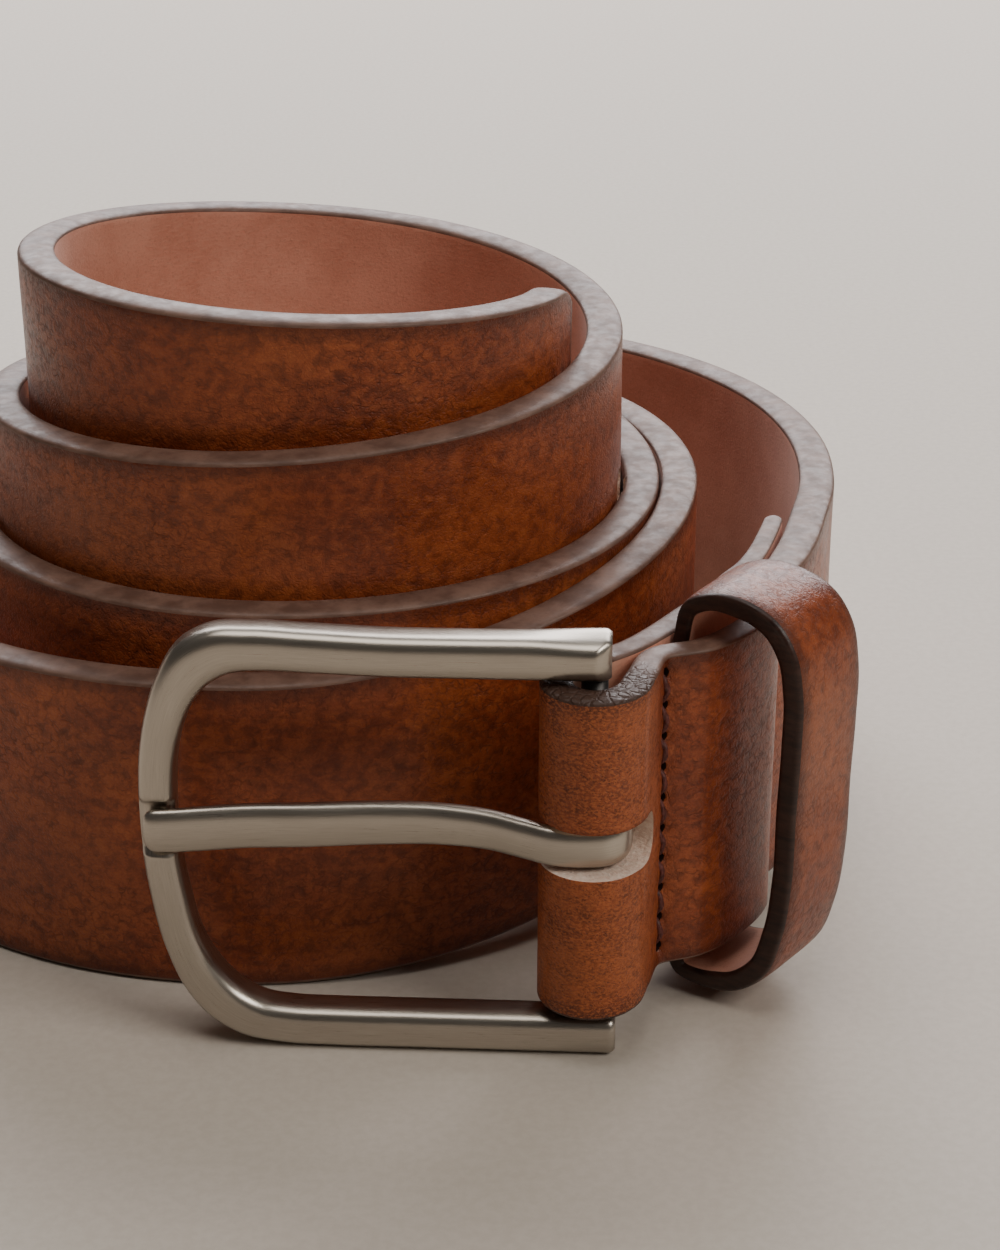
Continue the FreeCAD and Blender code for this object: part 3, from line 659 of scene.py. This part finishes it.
def make_strap():
    spine, places, total = strap_stations()
    x, y, base, thickness = spine.T
    way = unit(np.gradient(spine[:, :2], places, axis=0))
    normal = np.stack([-way[:, 1], way[:, 0]], axis=1)
    across, height, dome, kind = strap_ring(72, 48, 12)
    from_tail = places
    reach = np.clip(TAIL_CORNER - from_tail, 0.0, TAIL_CORNER)
    half = STRAP_WIDTH / 2 - TAIL_CORNER + np.sqrt(TAIL_CORNER**2 - reach**2)
    closing = np.minimum(from_tail / TIP_ROUNDING, (total - from_tail) / FLAP_ROUNDING)
    closing = 1.0 - np.clip(1.0 - closing, 0.0, 1.0) ** END_SQUARENESS
    rounding = np.maximum(closing, 1e-4) ** (1 / END_SQUARENESS)
    thick = thickness * np.maximum(rounding, 0.03)
    middle = base + STRAP_WIDTH / 2
    edge_room = EDGE_DOME * thick / COIL_LEATHER
    inner = half - edge_room
    levels = middle[:, None] + (2 * height - 1)[None, :] * inner[:, None]
    levels += dome[None, :] * edge_room[:, None]
    offset = across[None, :] * thick[:, None] / 2
    wave = 0.05 * np.sin(places[:, None] / 7.3) * np.sin(levels / 5.1 + places[:, None] / 23.0)
    wave += 0.035 * np.sin(places[:, None] / 2.9 + 1.3) * np.sin(levels / 3.3 + 0.7)
    offset += np.where(np.abs(across)[None, :] > 0.999, wave, 0.0)
    px = x[:, None] + normal[:, 0:1] * offset
    py = y[:, None] + normal[:, 1:2] * offset
    buckle_end = (places > total - BUCKLE_END_LENGTH)[:, None]
    dents = stitch_dents(px, py, levels, buckle_end & (kind == 0)[None, :])
    px -= normal[:, 0:1] * dents
    py -= normal[:, 1:2] * dents
    grid = np.stack([px, py, levels], axis=-1)
    kinds = np.broadcast_to(np.array([0, 1, 2, 1])[kind], (len(places) - 1, len(kind))).copy()
    rim = (from_tail[:-1] < TIP_RIM) | (from_tail[:-1] > total - FLAP_ROUNDING)
    kinds[rim] = 1
    from_edge = np.maximum(half[:, None] - np.abs(levels - middle[:, None]) - edge_room[:, None], 0.0)
    cos, sin = math.cos(STRAP_HEADING), math.sin(STRAP_HEADING)
    along = (px - HEEL[0]) * cos + (py - HEEL[1]) * sin
    stretch = np.where(buckle_end, smoothstep((STRETCH_END - along) / STRETCH_FADE), 0.0)
    maps = [
        ("place", np.stack([np.broadcast_to(places[:, None], levels.shape), levels], -1) * MM),
        ("wear", np.stack([from_edge * MM, stretch], -1)),
    ]
    leathers = [GRAIN, EDGE, FLESH, RAW, HOLE]
    strap = grid_mesh("strap_leather_coil", grid, "belt", leathers, kinds, maps, caps=1)
    cut_openings(strap, spine, places)
    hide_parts("strap")
    print(f"strap length {total:.0f} mm")


def drum(centre, way, radius, half_length, sides):
    """Vertices and faces of a closed round cutter along way."""
    centre, way = np.array(centre, float), unit(np.array(way, float))
    up = np.array([0.0, 0.0, 1.0]) if abs(way[2]) < 0.9 else np.array([1.0, 0.0, 0.0])
    first = unit(np.cross(way, up))
    second = np.cross(way, first)
    vertices = []
    for end in (-half_length, half_length):
        for i in range(sides):
            angle = 2 * math.pi * (i + 0.37) / sides
            spoke = first * math.cos(angle) + second * math.sin(angle)
            vertices.append(centre + way * end + spoke * radius)
    faces = [[i, (i + 1) % sides, sides + (i + 1) % sides, sides + i] for i in range(sides)]
    faces += [list(range(sides))[::-1], list(range(sides, 2 * sides))]
    return vertices, faces


def slot_block():
    """The slot's outline, a straight run with a rounded end, pushed through both layers."""
    straight = SLOT_REACH - SLOT_RADIUS
    outline = [(-SLOT_CUTTER_REACH, SLOT_LEVEL - SLOT_RADIUS)]
    for i in range(1, 36):
        angle = -math.pi / 2 + math.pi * i / 36
        ahead = math.cos(angle) ** (2 / SLOT_ROUNDNESS)
        aside = math.copysign(abs(math.sin(angle)) ** (2 / SLOT_ROUNDNESS), angle)
        outline.append((straight + SLOT_RADIUS * ahead, SLOT_LEVEL + SLOT_RADIUS * aside))
    outline.append((-SLOT_CUTTER_REACH, SLOT_LEVEL + SLOT_RADIUS))
    vertices = []
    for outward in (-SLOT_CUTTER_REACH, SLOT_CUTTER_REACH):
        vertices += [(*along_strap(along, outward), level) for along, level in outline]
    count = len(outline)
    faces = [[i, (i + 1) % count, count + (i + 1) % count, count + i] for i in range(count)]
    faces += [list(range(count))[::-1], list(range(count, 2 * count))]
    return vertices, faces


def cut_openings(strap, spine, places):
    """Prong slot, adjustment holes and both rows of stitch holes: raw walls, or near-black painted shade on
    the stitch holes' walls.
    """
    solids = [(*slot_block(), 0)]
    ways = unit(np.gradient(spine[:, :2], places, axis=0))
    for number in range(HOLES):
        index = int(np.argmin(np.abs(places - (FIRST_HOLE + HOLE_SPACING * number))))
        centre = (spine[index, 0], spine[index, 1], spine[index, 2] + STRAP_WIDTH / 2)
        across = (-ways[index, 1], ways[index, 0], 0.0)
        solids.append((*drum(centre, across, HOLE_RADIUS, 0.65 * COIL_LEATHER, 40), 0))
    outward = (math.sin(STRAP_HEADING), -math.cos(STRAP_HEADING), 0.0)
    for row, half_length in ((FRONT_ROW, 3.8), (REAR_ROW, 4.2)):
        for height in stitch_heights():
            centre = (*along_strap(row, STITCH_HOLE_MIDDLE), height)
            hole, sides = drum(centre, outward, STITCH_HOLE_RADIUS, half_length, 18)
            tall = [(x, y, height + (z - height) * STITCH_HOLE_STRETCH) for x, y, z in hole]
            solids.append((tall, sides, 1))
    vertices, faces, kinds = [], [], []
    for some_vertices, some_faces, kind in solids:
        start = len(vertices)
        vertices += [tuple(np.array(v) * MM) for v in some_vertices]
        faces += [[start + i for i in face] for face in some_faces]
        kinds += [kind] * len(some_faces)
    mesh = bpy.data.meshes.new("cutter")
    mesh.from_pydata(vertices, [], faces)
    mesh.materials.append(RAW)
    mesh.materials.append(HOLE)
    mesh.polygons.foreach_set("material_index", np.array(kinds, np.int32))
    mesh.update()
    cutter = bpy.data.objects.new("cutter", mesh)
    bpy.context.scene.collection.objects.link(cutter)
    modifier = strap.modifiers.new("openings", "BOOLEAN")
    modifier.operation = "DIFFERENCE"
    modifier.solver = "EXACT"
    modifier.material_mode = "TRANSFER"
    modifier.object = cutter
    graph = bpy.context.evaluated_depsgraph_get()
    cut_mesh = bpy.data.meshes.new_from_object(strap.evaluated_get(graph), depsgraph=graph)
    strap.modifiers.clear()
    strap.data = cut_mesh
    bpy.data.objects.remove(cutter)


# ---------------------------------------------------------------------------------------------
# Stitching
# ---------------------------------------------------------------------------------------------


def layer_surface(layer, row, side):
    """How far out a layer's surface lies at a stitch row."""
    middle, thickness = next(station[1:] for station in layer if station[0] == row)
    return middle + side * thickness / 2


def make_stitches(node, layer, row, side):
    """A row of two-ply thread, each stitch dipping into the holes at its ends."""
    surface = layer_surface(layer, row, side)
    heights = stitch_heights()
    steps = 96
    levels = np.linspace(heights[0] - 0.12, heights[-1] + 0.12, steps * (STITCHES - 1) + 1)
    phase = ((levels - heights[0]) / STITCH_PITCH) % 1.0
    rise = np.abs(np.sin(math.pi * phase)) ** 0.8
    lift = THREAD_RISE * rise - THREAD_DIP
    ends = np.minimum(levels - levels[0], levels[-1] - levels)
    lift -= 1.2 * np.clip(1 - ends / 0.3, 0, 1)
    path = [(*along_strap(row, surface + side * height), level) for level, height in zip(levels, lift)]
    up = np.array([*(np.array(along_strap(0, side)) - np.array(along_strap(0, 0))), 0.0])
    ups = np.broadcast_to(up, (len(path), 3)).copy()
    angle = 2 * math.pi * np.arange(18) / 18
    twist = 2 * math.pi * levels / PLY_TWIST
    radii = THREAD_RADIUS * (0.80 + 0.26 * np.abs(np.cos(angle[None, :] - twist[:, None])))
    grid = tube(path, ups, radii)
    stitches = grid_mesh(f"{node}_stitches", grid, "belt", [THREAD])
    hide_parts(node)


# ---------------------------------------------------------------------------------------------
# Keeper
# ---------------------------------------------------------------------------------------------

KEEPER_PLACE = 18.9
KEEPER_WIDTH = 11.3
KEEPER_LEATHER = 1.9
KEEPER_SQUARENESS = 7.0
KEEPER_EDGE_WIDTH = 0.42
KEEPER_CROWN = 0.10
# The front run is thicker by this part, and its edge away from the buckle stands out by the bulge.
KEEPER_FULLNESS = 0.26
KEEPER_BULGE = 0.7
# Outside of the band in section: outward from the strap's middle line, height.
KEEPER_OUTLINE = [
    (0.6, 23.0),
    (0.6, 32.0),
    (0.6, 40.6),
    (1.5, 44.0),
    (4.6, 45.8),
    (8.4, 46.0),
    (12.2, 44.4),
    (14.3, 41.5),
    (15.2, 37.4),
    (15.3, 31.3),
    (15.1, 24.4),
    (15.0, 16.6),
    (14.2, 10.1),
    (12.4, 5.0),
    (9.0, 2.1),
    (4.8, 1.5),
    (1.9, 2.2),
    (0.7, 4.4),
    (0.6, 13.0),
]


def make_keeper():
    outline = np.array(KEEPER_OUTLINE)
    length = chord_length(outline, closed=True)
    count = 240
    points = catmull_rom(outline, length * np.arange(count) / count, closed=True)
    way = unit(np.roll(points, -1, axis=0) - np.roll(points, 1, axis=0))
    inward = np.stack([way[:, 1], -way[:, 0]], axis=1)
    side, depth = superellipse(64, KEEPER_SQUARENESS, KEEPER_WIDTH / 2, KEEPER_LEATHER / 2)
    crown = KEEPER_CROWN * (1 - (side / (KEEPER_WIDTH / 2)) ** 2)
    down = KEEPER_LEATHER / 2 - depth - crown * (depth > 0)
    fuller = 1.0 + KEEPER_FULLNESS * smoothstep((points[:, 0:1] - 3.0) / 5.0)
    n = points[:, 0:1] + inward[:, 0:1] * down[None, :] * fuller
    z = points[:, 1:2] + inward[:, 1:2] * down[None, :] * fuller
    to_far_edge = (side / KEEPER_WIDTH + 0.5)[None, :]
    n = n + KEEPER_BULGE * to_far_edge * smoothstep((n - 5.0) / 9.0)
    cos, sin = math.cos(STRAP_HEADING), math.sin(STRAP_HEADING)
    along = KEEPER_PLACE + side[None, :] + 0 * n
    x = HEEL[0] + along * cos + n * sin
    y = HEEL[1] + along * sin - n * cos
    grid = np.stack([x, y, z], axis=-1)
    run = length * np.arange(count) / count
    flat = np.abs(side) < KEEPER_WIDTH / 2 - KEEPER_EDGE_WIDTH
    kinds = np.where(flat & np.roll(flat, -1), np.where(depth > 0, 0, 2), 1)
    kinds = np.broadcast_to(kinds, (count, len(side)))
    from_edge = np.maximum(KEEPER_WIDTH / 2 - KEEPER_EDGE_WIDTH - np.abs(side), 0.0)
    place = np.stack([run[:, None] + 0 * n, side[None, :] + 0 * n], -1)
    maps = [("place", place * MM), ("wear", np.stack([from_edge[None, :] * MM + 0 * n, 0 * n], -1))]
    leathers = [KEEPER_GRAIN, KEEPER_EDGE, FLESH]
    keeper = grid_mesh("keeper_band", grid, "belt", leathers, kinds, maps, closed=True)
    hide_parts("keeper")


# ---------------------------------------------------------------------------------------------
# Buckle frame
# ---------------------------------------------------------------------------------------------

FRAME_DEPTH = 4.6
FRAME_FORWARD = 0.5
# The upper arm's cut end: its front's chamfer, and its top's fall at the front and rise at the back.
ARM_CHAMFER = 1.2
ARM_DROP = 0.7
ARM_LIFT = 0.25
FRAME_SIDES = 72
FRAME_SQUARENESS = 3.1
FRAME_GIRTH = 15.0
END_SOFTENING = 0.8
CAP_RUN = 0.004
NOTCH_LEVEL = 24.8
NOTCH_DEPTH = 0.8
# Reach and height of the frame's outside and inside, from the upper arm's cut end to the lower's.
FRAME_OUTSIDE = [
    (-1.6, 45.6),
    (4.0, 45.5),
    (12.0, 45.4),
    (20.0, 45.4),
    (27.5, 45.7),
    (32.5, 45.9),
    (36.6, 45.6),
    (39.6, 43.9),
    (41.8, 40.4),
    (43.1, 36.4),
    (43.8, 32.6),
    (44.1, 28.3),
    (44.1, 24.0),
    (43.9, 20.2),
    (43.4, 16.2),
    (42.3, 10.9),
    (40.4, 6.0),
    (38.0, 2.9),
    (35.0, 1.0),
    (31.0, 0.2),
    (26.0, 0.0),
    (18.0, 0.0),
    (9.0, 0.0),
    (2.0, 0.0),
    (-2.6, 0.0),
]
FRAME_INSIDE = [
    (-1.6, 41.1),
    (4.0, 41.1),
    (12.0, 41.1),
    (20.0, 41.1),
    (27.0, 41.3),
    (31.4, 41.4),
    (34.4, 41.1),
    (36.5, 40.0),
    (38.3, 37.8),
    (39.5, 34.9),
    (40.2, 31.9),
    (40.5, 28.0),
    (40.5, 24.0),
    (40.3, 20.8),
    (39.8, 17.2),
    (38.8, 12.4),
    (37.2, 9.0),
    (35.1, 6.5),
    (32.6, 5.0),
    (29.6, 4.5),
    (25.6, 4.4),
    (18.0, 4.4),
    (9.0, 4.4),
    (2.0, 4.4),
    (-2.6, 4.4),
]


def make_buckle_frame():
    outside, inside = np.array(FRAME_OUTSIDE), np.array(FRAME_INSIDE)
    middle = (outside + inside) / 2
    both = np.hstack([middle, outside, inside])
    length = chord_length(both)
    ends = np.array([0.0, 0.001, 0.002, 0.003, 0.004, 0.06, 0.16, 0.32, 0.52, 0.8])
    places = np.concatenate([ends, np.arange(1.1, length - 1.1, 0.35), length - ends[::-1]])
    curve = catmull_rom(both, places)
    outside, inside = curve[:, 2:4], curve[:, 4:6]
    across, depth = superellipse(FRAME_SIDES, FRAME_SQUARENESS)
    from_end = np.minimum(places, length - places)
    closing = np.clip(from_end / CAP_RUN, 0.02, 1.0)
    softened = closing * (1 - 0.16 * np.clip(1 - from_end / END_SOFTENING, 0, 1) ** 2.5)
    centre = (outside + inside) / 2
    half = (outside - inside) / 2 * softened[:, None]
    plane = centre[:, None, :] + half[:, None, :] * across[None, :, None]
    forward = depth[None, :] * softened[:, None]
    at_arm_end = np.clip(1 - places[:, None] / 3.0, 0, 1)
    plane[:, :, 0] += ARM_CHAMFER * np.clip((forward - 0.40) / 0.60, 0, 1) * at_arm_end
    outward = FRAME_FORWARD + forward * FRAME_DEPTH / 2
    flare = smoothstep((9.0 - places) / 8.0)[:, None] * np.clip(across, 0, 1)[None, :]
    level = plane[:, :, 1] + ARM_LIFT * flare
    level -= ARM_DROP * flare * smoothstep(0.5 + 0.5 * depth)[None, :]
    shoulder = smoothstep((3.0 - np.abs(level - NOTCH_LEVEL)) / 0.6)
    on_front_bar = smoothstep((plane[:, :, 0] - 37.0) / 1.5)
    on_front_face = smoothstep((outward - FRAME_FORWARD - 0.6) / 1.2)
    outward = outward - NOTCH_DEPTH * shoulder * on_front_bar * on_front_face
    x = HEEL[0] + plane[:, :, 0] * math.cos(FRAME_HEADING) - outward * math.sin(FRAME_HEADING)
    y = HEEL[1] + plane[:, :, 0] * math.sin(FRAME_HEADING) + outward * math.cos(FRAME_HEADING)
    grid = np.stack([x, y, level], axis=-1)
    girth = FRAME_GIRTH * np.arange(FRAME_SIDES) / FRAME_SIDES
    place = np.stack([places[:, None] + 0 * level, girth[None, :] + 0 * level], -1)
    buckle = grid_mesh("buckle_frame_cast", grid, "buckle", [NICKEL], maps=[("place", place * MM)])
    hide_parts("buckle_frame")


# ---------------------------------------------------------------------------------------------
# Prong and heel bar
# ---------------------------------------------------------------------------------------------

PRONG_HOOK_RADIUS = 3.02
HOOK_LEVEL = 24.1
HOOK_HALF_HEIGHT = 2.05
HOOK_HALF_THICKNESS = 0.95
PRONG_SIDES = 56
PRONG_SQUARENESS = 2.4
PRONG_GIRTH = 11.0
PRONG_END = 0.75
PRONG_END_SQUARENESS = 2.2
# Middle line of the prong: reach, outward, height, half height, half thickness.
PRONG_LINE = [
    (3.6, 2.9, 24.1, 2.05, 1.0),
    (6.5, 1.7, 24.2, 2.05, 1.1),
    (10.0, 0.3, 24.35, 2.1, 1.15),
    (15.0, -0.4, 24.5, 2.2, 1.15),
    (21.0, -0.1, 24.6, 2.3, 1.15),
    (28.0, 0.9, 24.7, 2.35, 1.1),
    (34.0, 1.6, 24.8, 2.35, 1.05),
    (38.5, 2.5, 24.8, 2.35, 0.95),
    (41.0, 2.95, 24.8, 2.3, 0.90),
    (42.7, 3.0, 24.8, 2.2, 0.88),
    (43.5, 2.8, 24.8, 2.0, 0.80),
]


def make_prong():
    line = []
    for degrees in range(-70, -271, -20):
        angle = math.radians(degrees)
        hook = PRONG_HOOK_RADIUS * math.cos(angle), PRONG_HOOK_RADIUS * math.sin(angle)
        line.append((*hook, HOOK_LEVEL, HOOK_HALF_HEIGHT, HOOK_HALF_THICKNESS))
    line += PRONG_LINE
    length = chord_length(line)
    ends = np.array([0.0, 0.05, 0.15, 0.3, 0.5, PRONG_END])
    places = np.concatenate([ends, np.arange(1.0, length - 1.0, 0.3), length - ends[::-1]])
    curve = catmull_rom(line, places)
    centre = curve[:, :2]
    way = unit(np.gradient(centre, places, axis=0))
    outward = np.stack([-way[:, 1], way[:, 0]], axis=1)
    from_end = np.minimum(places, (length - places) * 0.8)
    rounding = 1 - np.clip(1 - from_end / PRONG_END, 0, 1) ** PRONG_END_SQUARENESS
    rounding = rounding ** (1 / PRONG_END_SQUARENESS)
    rounding = 0.25 + 0.75 * rounding
    up, depth = superellipse(PRONG_SIDES, PRONG_SQUARENESS)
    level = curve[:, 2:3] + up[None, :] * (curve[:, 3] * rounding)[:, None]
    lift = depth[None, :] * (curve[:, 4] * rounding)[:, None]
    reach = centre[:, 0:1] + outward[:, 0:1] * lift
    out = centre[:, 1:2] + outward[:, 1:2] * lift
    x = HEEL[0] + reach * math.cos(FRAME_HEADING) - out * math.sin(FRAME_HEADING)
    y = HEEL[1] + reach * math.sin(FRAME_HEADING) + out * math.cos(FRAME_HEADING)
    grid = np.stack([x, y, level], axis=-1)
    girth = PRONG_GIRTH * np.arange(PRONG_SIDES) / PRONG_SIDES
    place = np.stack([places[:, None] + 0 * level, girth[None, :] + 0 * level], -1)
    prong = grid_mesh("prong_forged", grid, "prong", [NICKEL], maps=[("place", place * MM)])
    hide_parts("prong")


BAR_RADIUS = 1.98
BAR_CORNER = 1.75
PIN_RADIUS = 1.3
PIN_TIP = 1.15
LOWER_SHOULDER = 5.2
UPPER_SHOULDER = 38.65


def make_heel_bar():
    """A turned bar: full diameter in the fold, a stepped pin in each arm."""
    low, high = BAR_LOW[2] / MM, BAR_HIGH[2] / MM
    profile = [
        (low, 0.2),
        (low, PIN_TIP),
        (low + 0.2, PIN_RADIUS),
        (LOWER_SHOULDER, PIN_RADIUS),
        (LOWER_SHOULDER + 0.05, BAR_CORNER),
        (LOWER_SHOULDER + 0.3, BAR_RADIUS),
        (UPPER_SHOULDER - 0.25, BAR_RADIUS),
        (UPPER_SHOULDER - 0.05, BAR_CORNER),
        (UPPER_SHOULDER, PIN_RADIUS),
        (high - 0.2, PIN_RADIUS),
        (high, PIN_TIP),
        (high, 0.2),
    ]
    levels, radii = np.array(profile).T
    angle = 2 * math.pi * np.arange(48) / 48
    x = HEEL[0] + radii[:, None] * np.cos(angle)[None, :]
    y = HEEL[1] + radii[:, None] * np.sin(angle)[None, :]
    grid = np.stack([x, y, np.broadcast_to(levels[:, None], x.shape)], axis=-1)
    bar = grid_mesh("heel_bar_turned", grid, "buckle", [BLUED_STEEL])
    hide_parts("heel_bar")


make_strap()
make_stitches("front_row_needle_thread", OUTER_LAYER, FRONT_ROW, 1)
make_stitches("front_row_bobbin_thread", FLAP_LAYER, FRONT_ROW, -1)
make_stitches("rear_row_needle_thread", OUTER_LAYER, REAR_ROW, 1)
make_stitches("rear_row_bobbin_thread", FLAP_LAYER, REAR_ROW, -1)
make_keeper()
make_buckle_frame()
make_prong()
make_heel_bar()

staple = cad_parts["keeper_staple"]
staple.data.materials.clear()
staple.data.materials.append(STEEL)

# ---------------------------------------------------------------------------------------------
# Floor, lights and camera
# ---------------------------------------------------------------------------------------------


def make_floor():
    p = Paint("pale_floor")
    speck = p.noise(p.place(), 900.0, 3.0, 0.6)
    colour = p.mix(p.ramp(speck, 0.3, 0.7), (0.53, 0.465, 0.395), (0.57, 0.505, 0.435))
    material = p.finish(Base_Color=colour, Roughness=0.62)
    mesh = bpy.data.meshes.new("floor")
    corners = [(-3.0, -3.0, 0.0), (3.0, -3.0, 0.0), (3.0, 3.0, 0.0), (-3.0, 3.0, 0.0)]
    mesh.from_pydata(corners, [], [(0, 1, 2, 3)])
    mesh.materials.append(material)
    floor = bpy.data.objects.new("floor", mesh)
    bpy.context.scene.collection.objects.link(floor)


def add_light(name, place, target, width, height, power, colour):
    data = bpy.data.lights.new(name, "AREA")
    data.shape = "RECTANGLE"
    data.size, data.size_y = width, height
    data.energy = power
    data.color = colour
    light = bpy.data.objects.new(name, data)
    light.location = place
    light.rotation_euler = (Vector(target) - Vector(place)).to_track_quat("-Z", "Y").to_euler()
    bpy.context.scene.collection.objects.link(light)


make_floor()
add_light("back_window", (0.05, 0.92, 0.62), (0.0, 0.0, 0.03), 1.3, 0.80, 22.0, (0.97, 0.96, 0.98))
add_light("right_key", (0.75, -0.55, 0.85), (0.0, 0.0, 0.03), 0.55, 0.55, 6.5, (1.0, 0.96, 0.90))
add_light("overhead", (-0.10, -0.16, 1.10), (0.0, 0.0, 0.03), 0.65, 0.62, 3.8, (1.0, 0.96, 0.91))

world = bpy.data.worlds.new("studio")
world.use_nodes = True
world.node_tree.nodes["Background"].inputs["Color"].default_value = (0.85, 0.78, 0.72, 1.0)
world.node_tree.nodes["Background"].inputs["Strength"].default_value = 0.09
bpy.context.scene.world = world

camera_data = bpy.data.cameras.new("camera")
camera_data.sensor_width = 36.0
camera_data.lens = 74.9
camera_data.clip_start = 0.01
camera = bpy.data.objects.new("camera", camera_data)
camera.location = (0.01971, -0.28335, 0.14554)
camera.rotation_euler = (math.radians(66.0), 0.0, 0.0)
bpy.context.scene.collection.objects.link(camera)
bpy.context.scene.camera = camera
